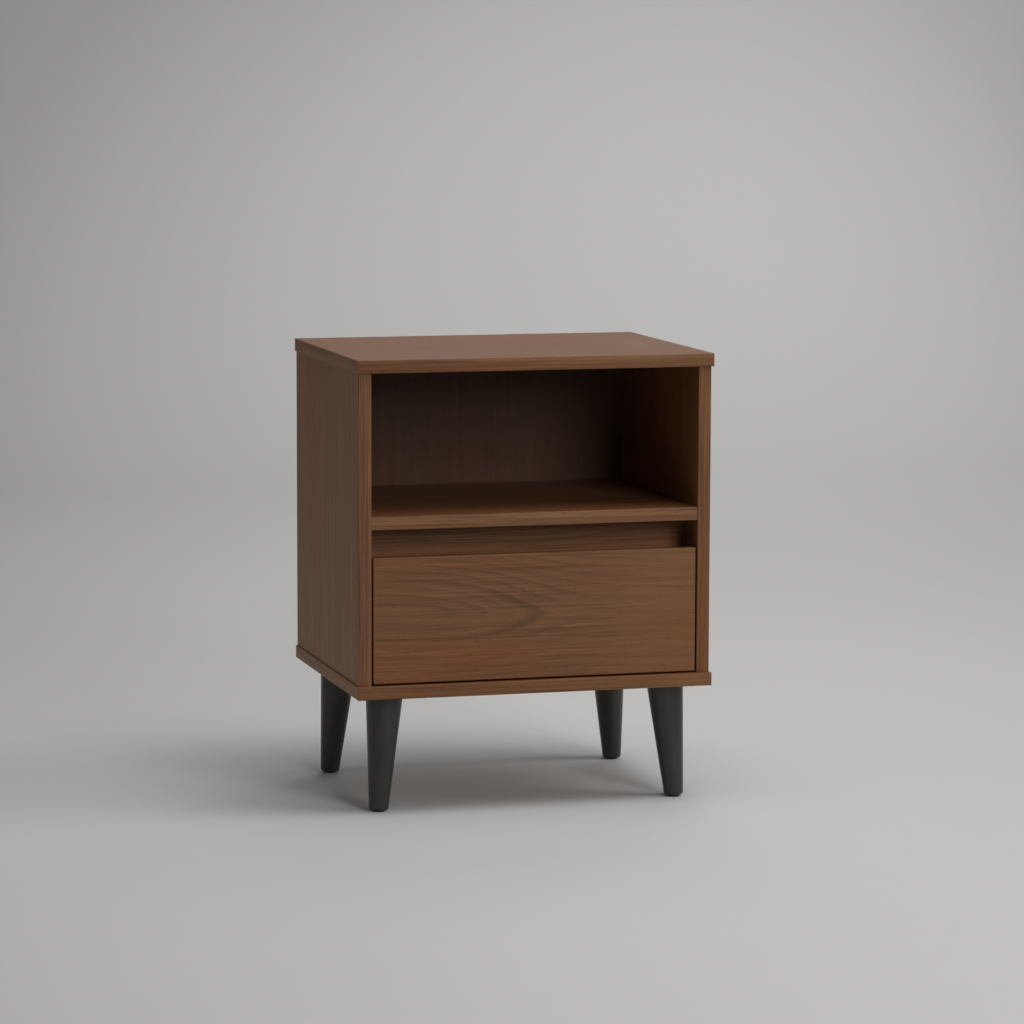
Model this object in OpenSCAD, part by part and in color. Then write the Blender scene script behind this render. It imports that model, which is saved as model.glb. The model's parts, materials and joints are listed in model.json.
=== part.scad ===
// Nightstand with an open compartment over one inset drawer, on four splayed round legs.
// Millimetres, +Z up. The origin is on the floor under the centre of the top panel, and the front faces -Y.

/* [Overall size] */
// Width over the top and bottom panels
overall_w = 420; // [340:1:600]
// Depth over the top and bottom panels
overall_d = 320; // [266:1:450]
// Height from the floor to the top surface
overall_h = 520; // [430:1:650]
// Height of the bottom panel's underside above the floor
leg_h = 135; // [100:1:180]

/* [Carcass boards] */
// Thickness of the carcass boards and of the drawer front
board_t = 15; // [12.5:0.5:19]
// How far the top and bottom panels stand out past each side panel
side_overhang = 2; // [0:0.5:6]
// How far the top and bottom panels stand out in front of the side panels
front_overhang = 5; // [0:0.5:12]
// How far the shelf's front edge sits behind the side panels' front edges
shelf_recess = 1; // [0:0.5:5]
// Thickness of the glued edge bands
band_t = 0.8; // [0.4:0.1:2]
// Thickness of the back panel
back_t = 4; // [3:0.5:6]
// Distance from the carcass's rear edges to the back panel's rear face
back_inset = 16; // [10:1:30]
// Depth of the grooves that hold the back panel
back_groove = 6; // [4:0.5:7]

/* [Finger gap] */
// Height of the gap between the drawer front and the shelf
finger_gap = 32; // [24:1:45]
// How far the rail behind the gap is set back from the side panels' front edges
rail_setback = 57; // [40:1:70]
// How far the rail reaches below the drawer front's top edge
rail_overlap = 13; // [8:1:20]

/* [Drawer] */
// Height of the drawer front; the open compartment above takes what is left
drawer_h = 143.5; // [115:0.5:180]
// Gap at the sides and below the drawer front
drawer_gap = 2; // [1.5:0.5:4]
// How far the drawer front sits behind the side panels' front edges
drawer_recess = 0.5; // [0:0.5:5]
// Thickness of the drawer's sides and back
box_t = 12; // [10:0.5:15]
// Height of the drawer box above the bottom panel
box_lift = 12; // [8:1:25]
// Clear height between the drawer box and the rail
box_headroom = 3.5; // [3:0.5:10]
// Thickness of the drawer's bottom
base_t = 3; // [3:0.5:5]
// Height of the drawer's bottom above the lower edges of its sides
base_rise = 10; // [8:1:15]
// Depth of the grooves that hold the drawer's bottom
base_groove = 5; // [3:0.5:6]

/* [Telescopic slides] */
// Space for a slide between the drawer box and a side panel
slide_gap = 13; // [13:0.1:14]
// Height of the slide's outer member
slide_h = 45; // [42:1:50]
// Sheet thickness of the slide members
slide_t = 1.2; // [1:0.1:1.3]
// Radius of the slide's balls
ball_r = 1.75; // [1.5:0.05:1.8]
// Number of balls in one row
ball_count = 10; // [6:1:12]
// Distance between balls in a row
ball_pitch = 9; // [7:0.5:9]

/* [Legs] */
// Distance from the side edge of the bottom panel to the leg's centre, at the panel
leg_inset_x = 42; // [36:1:60]
// Distance from the front or rear edge of the bottom panel to the leg's centre, at the panel
leg_inset_y = 47; // [36:1:70]
// Outward tilt of a leg along the panel's diagonal, in degrees
leg_splay = 5.6; // [2:0.2:9]
// Radius of the leg where it meets its mount
leg_top_r = 21; // [17:0.5:25]
// Radius of the leg at the floor
leg_foot_r = 11; // [9:0.5:16]
// Radius of the rounded rim at the foot
foot_round = 3; // [1.5:0.5:4]

/* [Fittings] */
// Radius of the cam housings in the carcass boards
cam_r = 7.5; // [6:0.5:7.5]
// Radius of the cam housings in the drawer sides
box_cam_r = 6; // [5:0.5:6]
// Distance from a joint to the centre of its cam
cam_reach = 24; // [20:1:34]
// Radius of the wooden dowels in the carcass boards
dowel_r = 4; // [3:0.5:4]
// Distance from a panel's front edge or the back panel to the nearest cam
fitting_inset = 45; // [35:1:60]
// Clearance round a fitting in its hole
hole_play = 0.1; // [0.05:0.05:0.2]
// Clearance of a panel in its groove
groove_play = 0.2; // [0.1:0.05:0.5]

/* [Hidden] */
$fn = 64;

eps = 0.01;
left = -1;
right = 1;
front = -1;
rear = 1;

// Colours
walnut = [0.42, 0.28, 0.20];
walnut_edge = [0.45, 0.29, 0.19];
drawer_walnut = [0.50, 0.35, 0.25];
back_brown = [0.26, 0.18, 0.14];
leg_black = [0.13, 0.13, 0.12];
plastic_black = [0.08, 0.08, 0.08];
cap_brown = [0.25, 0.16, 0.11];
zinc = [0.62, 0.63, 0.64];
steel = [0.70, 0.71, 0.73];
brass = [0.72, 0.60, 0.32];
beech = [0.80, 0.66, 0.47];

// Places of the carcass boards
front_y = -overall_d / 2;
rear_y = overall_d / 2;
side_front_y = front_y + front_overhang;
floor_z = leg_h + board_t;
ceiling_z = overall_h - board_t;
side_outer_x = overall_w / 2 - side_overhang;
side_inner_x = side_outer_x - board_t;
side_mid_x = side_outer_x - board_t / 2;
drawer_bottom_z = floor_z + drawer_gap;
drawer_top_z = drawer_bottom_z + drawer_h;
shelf_z = drawer_top_z + finger_gap;
shelf_top_z = shelf_z + board_t;
shelf_front_y = side_front_y + shelf_recess;
back_front_y = rear_y - back_inset - back_t;
rail_y = side_front_y + rail_setback;
rail_h = finger_gap + rail_overlap;
rail_z = shelf_z - rail_h;

// Places of the drawer's boards
drawer_face_y = side_front_y + drawer_recess;
drawer_inner_y = drawer_face_y + board_t;
drawer_half_w = side_inner_x - drawer_gap;
box_outer_x = side_inner_x - slide_gap;
box_inner_x = box_outer_x - box_t;
box_z = floor_z + box_lift;
box_top_z = rail_z - box_headroom;
base_z = box_z + base_rise;

// The slide is the longest standard length that fits in front of the back panel
slide_step = 50;
slide_front_play = 2;
slide_rear_room = 15;
slide_y = drawer_inner_y + slide_front_play;
slide_len = slide_step * floor((back_front_y - slide_rear_room - slide_y) / slide_step);
slide_travel = slide_len;
slide_z = (box_z + box_top_z) / 2;
box_rear_play = 5;
box_len = slide_len + box_rear_play;
box_rear_y = drawer_inner_y + box_len;

// Cross-section of the slide: across is the distance from the side panel, and up is from the centre line
race_play = 0.2;
race_r = ball_r + race_play;
race_lip = 0.8;
outer_up = slide_h / 2 - slide_t - race_r;
inner_up = outer_up - 2 * race_r - slide_t;
head_h = 1.4;
member_play = 0.4;
middle_web = slide_t + head_h + member_play;
track_half = 2.6;
flange_play = 0.3;
track_across = middle_web + slide_t + track_half + flange_play;
retainer_t = 0.7;
retainer_half = 2.3;
retainer_end = 4;
retainer_len = ball_count * ball_pitch + 2 * retainer_end;
retainer_y = slide_y + (slide_len - retainer_len) / 2;
bumper_len = 6;
bumper_h = 18;
bumper_play = 1;
middle_len = slide_len - bumper_len - bumper_play;

// Screws of the slides, at shares of the slide's length from its front end
slide_screw_r = 1.75;
slide_head_r = 3.2;
slide_screw_y = [for (share = [0.14, 0.5, 0.9]) slide_y + share * slide_len];
drawer_screw_y = [for (share = [0.1, 0.4, 0.94]) slide_y + share * slide_len];
screw_floor = 2;
cabinet_screw_depth = min(11, board_t - screw_floor);
box_screw_depth = min(9, box_t - screw_floor);
pilot_extra = 0.5;

// Release levers in the slides
lever_share = 0.68;
lever_y = slide_y + lever_share * slide_len;
lever_half = 30;
lever_t = 2;
lever_standoff = 2.2;
lever_across = slide_gap - slide_t - lever_t - lever_standoff;
lever_pin_r = 1.5;
lever_play = 0.08;

// Fittings
cam_bolt_r = 2.5;
cam_pin_r = 3.2;
cam_neck_r = 2;
cam_bore_r = 4;
cam_depth = board_t - 3;
box_cam_depth = box_t - 2;
bolt_thread = 10;
cam_neck_len = 9;
dowel_len = 30;
dowel_in_face = 10;
dowel_end_play = 1;
box_dowel_r = 3;
cap_t = 0.4;
dowel_step = 32;
cam_margin = 8;
side_fit_y = [side_front_y + fitting_inset, back_front_y - fitting_inset];
side_dowel_y = [side_fit_y[0] + dowel_step, side_fit_y[1] - dowel_step];
shelf_fit_y = [rail_y + board_t + cam_r + cam_margin, back_front_y - fitting_inset];
shelf_dowel_y = [side_front_y + dowel_step, shelf_fit_y[1] - dowel_step];
shelf_mid_z = shelf_z + board_t / 2;
rail_mid_y = rail_y + board_t / 2;
rail_cam_z = shelf_z - rail_h / 3;
rail_dowel_z = rail_z + rail_h / 4;
box_mid_x = box_outer_x - box_t / 2;
box_cam_z = [base_z + base_t + box_cam_r + cam_margin, box_top_z - box_cam_r - cam_margin];
box_dowel_z = (box_cam_z[0] + box_cam_z[1]) / 2;
back_screw_edge = 16;
back_screw_z = [base_z + base_t + back_screw_edge, box_top_z - back_screw_edge];
back_screw_r = 2;
back_head_r = 4;
back_screw_len = 34;

// Legs and what holds them
leg_x = overall_w / 2 - leg_inset_x;
leg_y = overall_d / 2 - leg_inset_y;
plate_t = 2.5;
plate_screw_r = 2;
plate_head_r = 3.8;
plate_margin = 4;
plate_screw = (leg_top_r + plate_head_r + plate_margin) / sqrt(2);
plate_w = 2 * (plate_screw + plate_head_r + plate_margin);
plate_screw_depth = min(10, board_t - screw_floor);
seat_lip = 0.8;
mount_drop = (plate_t + seat_lip + leg_top_r * sin(leg_splay)) / cos(leg_splay);
hanger_r = 4;
hanger_up = 4;
hanger_down = 30;
insert_r = 6;
insert_up = 2;
socket_r = 9;
socket_depth = 8;
glide_t = 2;
glide_r = 7;
nail_r = 1;
nail_len = 12;
foot_trim = 0.8;
foot_reach = (leg_h - glide_t) * tan(leg_splay) / sqrt(2);

// A joint is [place, direction of its pin, direction of its cam's open face, thickness of the pin's board]
function side_joints(side) = [
    for (y = side_fit_y) [[side * side_mid_x, y, ceiling_z], [0, 0, -1], [-side, 0, 0], board_t],
    for (y = side_fit_y) [[side * side_mid_x, y, floor_z], [0, 0, 1], [-side, 0, 0], board_t]
];
function shelf_joints(side) = [
    for (y = shelf_fit_y) [[side * side_inner_x, y, shelf_mid_z], [-side, 0, 0], [0, 0, -1], board_t]
];
function rail_joint(side) = [
    [[side * side_inner_x, rail_mid_y, rail_cam_z], [-side, 0, 0], [0, 1, 0], board_t]
];
function box_joints(side) = [
    for (z = box_cam_z) [[side * box_mid_x, drawer_inner_y, z], [0, 1, 0], [-side, 0, 0], box_t]
];
// A dowel is [place, direction of its longer end]
function side_dowels(side) = [
    for (y = side_dowel_y) [[side * side_mid_x, y, ceiling_z], [0, 0, -1]],
    for (y = side_dowel_y) [[side * side_mid_x, y, floor_z], [0, 0, 1]]
];
function shelf_dowels(side) = [
    for (y = shelf_dowel_y) [[side * side_inner_x, y, shelf_mid_z], [-side, 0, 0]]
];
function rail_dowel(side) = [[[side * side_inner_x, rail_mid_y, rail_dowel_z], [-side, 0, 0]]];
function box_dowels(side) = [[[side * box_mid_x, drawer_inner_y, box_dowel_z], [0, 1, 0]]];

// Both sides' lists in one
carcass_joints = [
    for (s = [left, right]) each concat(side_joints(s), shelf_joints(s), rail_joint(s))
];
carcass_dowel_list = [
    for (s = [left, right]) each concat(side_dowels(s), shelf_dowels(s), rail_dowel(s))
];

// Draws its children with +Z along a joint's pin and +X towards its cam's open face
module at_joint(joint) {
    z = joint[1];
    x = joint[2];
    y = cross(z, x);
    multmatrix([
        [x[0], y[0], z[0], joint[0][0]],
        [x[1], y[1], z[1], joint[0][1]],
        [x[2], y[2], z[2], joint[0][2]],
        [0, 0, 0, 1]
    ]) children();
}

// Draws its children with +Z along a unit direction that lies on one of the axes
module along(place, direction) {
    turn = direction[0] != 0 ? [0, 90 * direction[0], 0]
        : direction[1] != 0 ? [-90 * direction[1], 0, 0]
        : direction[2] < 0 ? [180, 0, 0] : [0, 0, 0];
    translate(place) rotate(turn) children();
}

// A box from one corner to the opposite one
module block(from, to) {
    translate(from) cube(to - from);
}

// Cuts for one joint: the bolt's thread, its pin and its cam
module joint_cuts(joints, r, depth) {
    for (j = joints) at_joint(j) {
        translate([0, 0, -bolt_thread - 1]) cylinder(h = bolt_thread + 1 + eps, r = cam_bolt_r + hole_play);
        translate([0, 0, -eps]) cylinder(h = cam_reach + eps, r = cam_bore_r);
        translate([j[3] / 2 - depth, 0, cam_reach]) rotate([0, 90, 0]) cylinder(h = depth + 1, r = r + hole_play);
    }
}

module dowel_cuts(list, r) {
    for (d = list) along(d[0], d[1])
        translate([0, 0, -dowel_in_face - dowel_end_play])
            cylinder(h = dowel_len + 2 * dowel_end_play, r = r + hole_play);
}

// A steel bolt with a thread for the face board and a ball head for the cam
module cam_bolts(joints) {
    for (j = joints) at_joint(j) {
        translate([0, 0, -bolt_thread]) cylinder(h = bolt_thread, r = cam_bolt_r);
        cylinder(h = cam_reach - cam_neck_len, r = cam_pin_r);
        translate([0, 0, cam_reach - cam_neck_len - eps]) cylinder(h = cam_neck_len, r = cam_neck_r);
        translate([0, 0, cam_reach - 1]) sphere(r = cam_pin_r);
    }
}

// A round housing with a cross slot, hollow where the bolt's head turns in it
module cam_locks(joints, r, depth) {
    slot_w = 1.4;
    slot_depth = 1.5;
    wall = 0.3;
    for (j = joints) at_joint(j) translate([0, 0, cam_reach]) difference() {
        translate([j[3] / 2 - depth + wall, 0, 0]) rotate([0, 90, 0]) cylinder(h = depth - 2 * wall, r = r);
        translate([0, 0, -1]) sphere(r = cam_pin_r + wall);
        translate([0, 0, -r - 1]) cylinder(h = r, r = cam_pin_r + wall);
        for (a = [0, 90]) translate([j[3] / 2 - wall - slot_depth, 0, 0]) rotate([a, 0, 0])
            translate([0, -r * 0.6, -slot_w / 2]) cube([slot_depth + 1, r * 1.2, slot_w]);
    }
}

module dowels(list, r) {
    chamfer = 0.8;
    for (d = list) along(d[0], d[1]) translate([0, 0, -dowel_in_face]) {
        cylinder(h = chamfer, r1 = r - chamfer, r2 = r);
        translate([0, 0, chamfer]) cylinder(h = dowel_len - 2 * chamfer, r = r);
        translate([0, 0, dowel_len - chamfer]) cylinder(h = chamfer, r1 = r, r2 = r - chamfer);
    }
}

// The core of the top or bottom panel between its edge bands
module slab(z) {
    block(
        [-overall_w / 2 + band_t, front_y + band_t, z],
        [overall_w / 2 - band_t, rear_y - band_t, z + board_t]
    );
}

// The four bands round the top or bottom panel
module slab_bands(z) {
    for (s = [front, rear]) translate([-overall_w / 2, s * (overall_d - band_t) / 2 - band_t / 2, z])
        cube([overall_w, band_t, board_t]);
    for (s = [left, right]) translate([s * (overall_w - band_t) / 2 - band_t / 2, front_y + band_t, z])
        cube([band_t, overall_d - 2 * band_t, board_t]);
}

// The groove for the back panel, cut into every board round it
module back_groove_cut() {
    block(
        [-side_inner_x - back_groove, back_front_y - groove_play, floor_z - back_groove],
        [side_inner_x + back_groove, back_front_y + back_t + groove_play, ceiling_z + back_groove]
    );
}

module top_panel() {
    color(walnut) difference() {
        slab(ceiling_z);
        back_groove_cut();
        for (s = [left, right]) {
            joint_cuts([for (j = side_joints(s)) if (j[1][2] < 0) j], cam_r, cam_depth);
            dowel_cuts([for (d = side_dowels(s)) if (d[1][2] < 0) d], dowel_r);
        }
    }
}

module top_edge_bands() {
    color(walnut_edge) slab_bands(ceiling_z);
}

module bottom_panel() {
    color(walnut) difference() {
        slab(leg_h);
        back_groove_cut();
        for (s = [left, right]) {
            joint_cuts([for (j = side_joints(s)) if (j[1][2] > 0) j], cam_r, cam_depth);
            dowel_cuts([for (d = side_dowels(s)) if (d[1][2] > 0) d], dowel_r);
        }
        at_leg_places() {
            cylinder(h = socket_depth, r = socket_r);
            plate_screw_places() cylinder(h = plate_screw_depth + pilot_extra, r = plate_screw_r + hole_play);
        }
    }
}

module bottom_edge_bands() {
    color(walnut_edge) slab_bands(leg_h);
}

module side_panel(side) {
    color(walnut) difference() {
        translate([side > 0 ? side_inner_x : -side_outer_x, 0, 0])
            block([0, side_front_y + band_t, floor_z], [board_t, rear_y, ceiling_z]);
        back_groove_cut();
        joint_cuts(concat(side_joints(side), shelf_joints(side), rail_joint(side)), cam_r, cam_depth);
        dowel_cuts(concat(side_dowels(side), shelf_dowels(side), rail_dowel(side)), dowel_r);
        for (y = slide_screw_y) along([side * side_inner_x, y, slide_z], [side, 0, 0])
            translate([0, 0, -1]) cylinder(h = cabinet_screw_depth + 1 + pilot_extra, r = slide_screw_r + hole_play);
    }
}

module side_edge_bands() {
    color(walnut_edge) for (s = [left, right]) translate([s * side_mid_x - board_t / 2, 0, 0])
        block([0, side_front_y, floor_z], [board_t, side_front_y + band_t, ceiling_z]);
}

module shelf_panel() {
    rear_play = 0.5;
    color(walnut) difference() {
        block(
            [-side_inner_x, shelf_front_y + band_t, shelf_z],
            [side_inner_x, back_front_y - rear_play, shelf_top_z]
        );
        for (s = [left, right]) {
            joint_cuts(shelf_joints(s), cam_r, cam_depth);
            dowel_cuts(shelf_dowels(s), dowel_r);
        }
    }
}

module shelf_edge_band() {
    color(walnut_edge) block(
        [-side_inner_x, shelf_front_y, shelf_z],
        [side_inner_x, shelf_front_y + band_t, shelf_top_z]
    );
}

module back_panel() {
    reach = back_groove - groove_play;
    color(back_brown) block(
        [-side_inner_x - reach, back_front_y, floor_z - reach],
        [side_inner_x + reach, back_front_y + back_t, ceiling_z + reach]
    );
}

module finger_rail() {
    color(walnut) difference() {
        block(
            [-side_inner_x, rail_y, rail_z + band_t],
            [side_inner_x, rail_y + board_t, shelf_z]
        );
        for (s = [left, right]) {
            joint_cuts(rail_joint(s), cam_r, cam_depth);
            dowel_cuts(rail_dowel(s), dowel_r);
        }
    }
}

module rail_edge_band() {
    color(walnut_edge) block(
        [-side_inner_x, rail_y, rail_z],
        [side_inner_x, rail_y + board_t, rail_z + band_t]
    );
}

module carcass_dowels() {
    color(beech) dowels(carcass_dowel_list, dowel_r);
}

module carcass_cam_bolts() {
    color(steel) cam_bolts(carcass_joints);
}

module carcass_cam_locks() {
    color(zinc) cam_locks(carcass_joints, cam_r, cam_depth);
}

// Caps over the cams that show in the open compartment
module cam_cover_caps() {
    rim = 1;
    color(cap_brown) for (s = [left, right], j = side_joints(s)) if (j[1][2] < 0)
        at_joint(j) translate([j[3] / 2, 0, cam_reach]) rotate([0, 90, 0]) {
            cylinder(h = cap_t / 2, r = cam_r + rim);
            translate([0, 0, cap_t / 2]) cylinder(h = cap_t / 2, r1 = cam_r + rim, r2 = cam_r + rim - cap_t / 2);
        }
}

module drawer_front() {
    color(walnut) difference() {
        block(
            [-drawer_half_w + band_t, drawer_face_y, drawer_bottom_z + band_t],
            [drawer_half_w - band_t, drawer_inner_y, drawer_top_z - band_t]
        );
        base_groove_cut();
        for (s = [left, right]) {
            joint_cuts(box_joints(s), box_cam_r, box_cam_depth);
            dowel_cuts(box_dowels(s), box_dowel_r);
        }
    }
}

module drawer_front_edge_bands() {
    color(walnut_edge) {
        for (z = [drawer_bottom_z, drawer_top_z - band_t])
            block([-drawer_half_w, drawer_face_y, z], [drawer_half_w, drawer_inner_y, z + band_t]);
        for (x = [-drawer_half_w, drawer_half_w - band_t]) block(
            [x, drawer_face_y, drawer_bottom_z + band_t],
            [x + band_t, drawer_inner_y, drawer_top_z - band_t]
        );
    }
}

// The groove for the drawer's bottom, cut into every board round it
module base_groove_cut() {
    block(
        [-box_inner_x - base_groove, drawer_inner_y - base_groove, base_z - groove_play],
        [box_inner_x + base_groove, box_rear_y - box_t + base_groove, base_z + base_t + groove_play]
    );
}

module drawer_side(side) {
    color(drawer_walnut) difference() {
        translate([side > 0 ? box_inner_x : -box_outer_x, 0, 0])
            block([0, drawer_inner_y, box_z], [box_t, box_rear_y, box_top_z - band_t]);
        base_groove_cut();
        joint_cuts(box_joints(side), box_cam_r, box_cam_depth);
        dowel_cuts(box_dowels(side), box_dowel_r);
        for (y = drawer_screw_y) along([side * box_outer_x, y, slide_z], [-side, 0, 0])
            translate([0, 0, -1]) cylinder(h = box_screw_depth + 1 + pilot_extra, r = slide_screw_r + hole_play);
        back_screw_cuts(side);
    }
}

module drawer_back() {
    color(drawer_walnut) difference() {
        block(
            [-box_inner_x, box_rear_y - box_t, box_z],
            [box_inner_x, box_rear_y, box_top_z - band_t]
        );
        base_groove_cut();
        for (s = [left, right]) back_screw_cuts(s);
    }
}

module drawer_base() {
    reach = base_groove - groove_play;
    color(back_brown) block(
        [-box_inner_x - reach, drawer_inner_y - reach, base_z],
        [box_inner_x + reach, box_rear_y - box_t + reach, base_z + base_t]
    );
}

// Bands on the upper edges of the drawer's sides and back
module drawer_box_edge_bands() {
    color(walnut_edge) {
        for (s = [left, right]) translate([s * box_mid_x - box_t / 2, 0, 0])
            block([0, drawer_inner_y, box_top_z - band_t], [box_t, box_rear_y, box_top_z]);
        block(
            [-box_inner_x, box_rear_y - box_t, box_top_z - band_t],
            [box_inner_x, box_rear_y, box_top_z]
        );
    }
}

module drawer_cam_bolts() {
    color(steel) for (s = [left, right]) cam_bolts(box_joints(s));
}

module drawer_cam_locks() {
    color(zinc) for (s = [left, right]) cam_locks(box_joints(s), box_cam_r, box_cam_depth);
}

module drawer_dowels() {
    color(beech) for (s = [left, right]) dowels(box_dowels(s), box_dowel_r);
}

// Draws its children at each screw of the drawer's back, with +Z into the wood
module at_back_screws(side) {
    for (z = back_screw_z) along([side * box_outer_x, box_rear_y - box_t / 2, z], [-side, 0, 0]) children();
}

// The cut for a countersunk head, a little deeper than the head so that it sits below the surface
module countersink(r, head_r) {
    translate([0, 0, -eps]) cylinder(
        h = head_r - r + hole_play + eps, r1 = head_r + 2 * hole_play, r2 = r + hole_play
    );
}

// A countersunk screw with its head's face at z 0
module countersunk(r, head_r, len) {
    cone = head_r - r;
    cylinder(h = cone, r1 = head_r, r2 = r);
    translate([0, 0, cone - eps]) cylinder(h = len - 2 * r - cone + eps, r = r);
    translate([0, 0, len - 2 * r]) cylinder(h = 2 * r, r1 = r, r2 = 0.3);
}

module back_screw_cuts(side) {
    at_back_screws(side) {
        translate([0, 0, -eps]) cylinder(h = back_screw_len + pilot_extra, r = back_screw_r + hole_play);
        countersink(back_screw_r, back_head_r);
    }
}

module drawer_back_screws() {
    color(steel) for (s = [left, right]) at_back_screws(s) countersunk(back_screw_r, back_head_r, back_screw_len);
}

// Draws its children on a slide, with +X across from the side panel, +Y to the rear and +Z up
module at_slide(side) {
    translate([side * side_inner_x, slide_y, slide_z]) mirror([side > 0 ? 1 : 0, 0, 0]) children();
}

// Sweeps a cross-section, drawn as [across, up], along the slide
module slide_sweep(from, len) {
    translate([0, from + len, 0]) rotate([90, 0, 0]) linear_extrude(height = len) children();
}

module slide_screw_holes(places, across, r) {
    for (y = places) translate([across - 1, y - slide_y, 0]) rotate([0, 90, 0]) cylinder(h = slide_t + 2, r = r);
}

// The C-shaped outer member, with a ball race inside each flange
module slide_cabinet_member(side) {
    race_z = outer_up + race_lip;
    color(zinc) at_slide(side) difference() {
        slide_sweep(0, slide_len) difference() {
            union() {
                translate([0, -slide_h / 2]) square([slide_t, slide_h]);
                for (s = [-1, 1]) translate([0, s > 0 ? race_z : -slide_h / 2])
                    square([track_across + track_half, slide_h / 2 - race_z]);
            }
            for (s = [-1, 1]) translate([track_across, s * outer_up]) circle(r = race_r);
        }
        slide_screw_holes(slide_screw_y, 0, slide_screw_r + hole_play);
    }
}

// The middle member, with ball races on both sides of each flange
module slide_middle_member(side) {
    track_h = outer_up - inner_up - 2 * race_lip;
    color(steel) at_slide(side) difference() {
        slide_sweep(0, middle_len) difference() {
            union() {
                translate([middle_web, -outer_up + race_lip]) square([slide_t, 2 * (outer_up - race_lip)]);
                for (s = [-1, 1]) translate([middle_web, s > 0 ? inner_up + race_lip : -outer_up + race_lip])
                    square([track_across + track_half - middle_web, track_h]);
            }
            for (s = [-1, 1], up = [inner_up, outer_up]) translate([track_across, s * up]) circle(r = race_r);
        }
        slide_screw_holes(slide_screw_y, middle_web, slide_head_r + 1);
    }
}

// The inner member on the drawer's side, with a ball race outside each flange
module slide_drawer_member(side) {
    flange_z = inner_up - race_lip;
    flange_h = race_r + slide_t - race_lip;
    flange_w = slide_gap - track_across + track_half;
    color(steel) at_slide(side) difference() {
        slide_sweep(0, slide_len) difference() {
            union() {
                translate([slide_gap - slide_t, -flange_z]) square([slide_t, 2 * flange_z]);
                for (s = [-1, 1]) translate([track_across - track_half, s > 0 ? flange_z - flange_h : -flange_z])
                    square([flange_w, flange_h]);
            }
            for (s = [-1, 1]) translate([track_across, s * inner_up]) circle(r = race_r);
        }
        slide_screw_holes(drawer_screw_y, slide_gap - slide_t, slide_screw_r + hole_play);
        translate([slide_gap - slide_t - 1, lever_y - slide_y, 0]) rotate([0, 90, 0])
            cylinder(h = slide_t + 2, r = lever_pin_r);
    }
}

function ball_places(up) = [
    for (s = [-1, 1], i = [0 : ball_count - 1])
        [track_across, retainer_y - slide_y + retainer_len / 2 + (i - (ball_count - 1) / 2) * ball_pitch, s * up]
];

// The two strips that keep a race's balls apart
module ball_retainers(side, up) {
    hole_r = ball_r + hole_play;
    color(plastic_black) at_slide(side) difference() {
        for (s = [-1, 1]) translate([track_across - retainer_half, retainer_y - slide_y, s * up - retainer_t / 2])
            cube([2 * retainer_half, retainer_len, retainer_t]);
        for (p = ball_places(up)) translate(p - [0, 0, 1]) cylinder(h = 2, r = hole_r);
    }
}

module balls(side, up) {
    color(steel) at_slide(side) for (p = ball_places(up)) translate(p) sphere(r = ball_r, $fn = 32);
}

// The lever that frees the drawer from its slide: an arm on a pin, with a thumb pad at its front end
module release_lever(side) {
    arm_h = 5;
    pad_len = 14;
    pad_h = 9;
    hub_r = 4;
    color(plastic_black) at_slide(side) translate([lever_across, lever_y - slide_y, 0]) difference() {
        union() {
            translate([0, -lever_half, -arm_h / 2]) cube([lever_t, 2 * lever_half, arm_h]);
            translate([0, -lever_half, -pad_h / 2]) cube([lever_t, pad_len, pad_h]);
            rotate([0, 90, 0]) cylinder(h = lever_t, r = hub_r);
        }
        translate([-1, 0, 0]) rotate([0, 90, 0]) cylinder(h = lever_t + 2, r = lever_pin_r + lever_play);
    }
}

// Rivets that carry the release levers, with a head past each lever
module lever_rivets() {
    head_t = 0.8;
    side_play = 0.2;
    tail = slide_gap - lever_across;
    color(steel) for (s = [left, right]) at_slide(s) translate([lever_across, lever_y - slide_y, 0]) rotate([0, 90, 0]) {
        cylinder(h = tail, r = lever_pin_r);
        translate([0, 0, -side_play - head_t]) cylinder(h = head_t, r = lever_pin_r + 1.2);
        translate([0, 0, -side_play - eps]) cylinder(h = side_play + 2 * eps, r = lever_pin_r);
        translate([0, 0, lever_t + side_play]) cylinder(h = tail - lever_t - side_play - slide_t, r = lever_pin_r + 1);
    }
}

// A low round-headed screw whose head sits on z 0 and whose thread goes along +Z
module pan_screw(r, head_r, len) {
    translate([0, 0, -head_h]) cylinder(h = head_h / 2, r1 = head_r - head_h / 2, r2 = head_r);
    translate([0, 0, -head_h / 2]) cylinder(h = head_h / 2, r = head_r);
    translate([0, 0, -eps]) cylinder(h = len - 2 * r + eps, r = r);
    translate([0, 0, len - 2 * r]) cylinder(h = 2 * r, r1 = r, r2 = 0.3);
}

module slide_cabinet_screws() {
    color(zinc) for (s = [left, right], y = slide_screw_y)
        along([s * (side_inner_x - slide_t), y, slide_z], [s, 0, 0])
            pan_screw(slide_screw_r, slide_head_r, slide_t + cabinet_screw_depth);
}

module slide_drawer_screws() {
    color(zinc) for (s = [left, right], y = drawer_screw_y)
        along([s * (box_outer_x + slide_t), y, slide_z], [-s, 0, 0])
            pan_screw(slide_screw_r, slide_head_r, slide_t + box_screw_depth);
}

// Rubber blocks at the rear of the outer members that stop the middle ones
module slide_bumpers() {
    color(plastic_black) for (s = [left, right]) at_slide(s)
        translate([slide_t, slide_len - bumper_len, -bumper_h / 2]) cube([middle_web, bumper_len, bumper_h]);
}

// Draws its children at the four leg centres under the bottom panel
module at_leg_places() {
    for (sx = [left, right], sy = [front, rear]) translate([sx * leg_x, sy * leg_y, leg_h]) children();
}

module plate_screw_places() {
    for (x = [-plate_screw, plate_screw], y = [-plate_screw, plate_screw]) translate([x, y, 0]) children();
}

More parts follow.
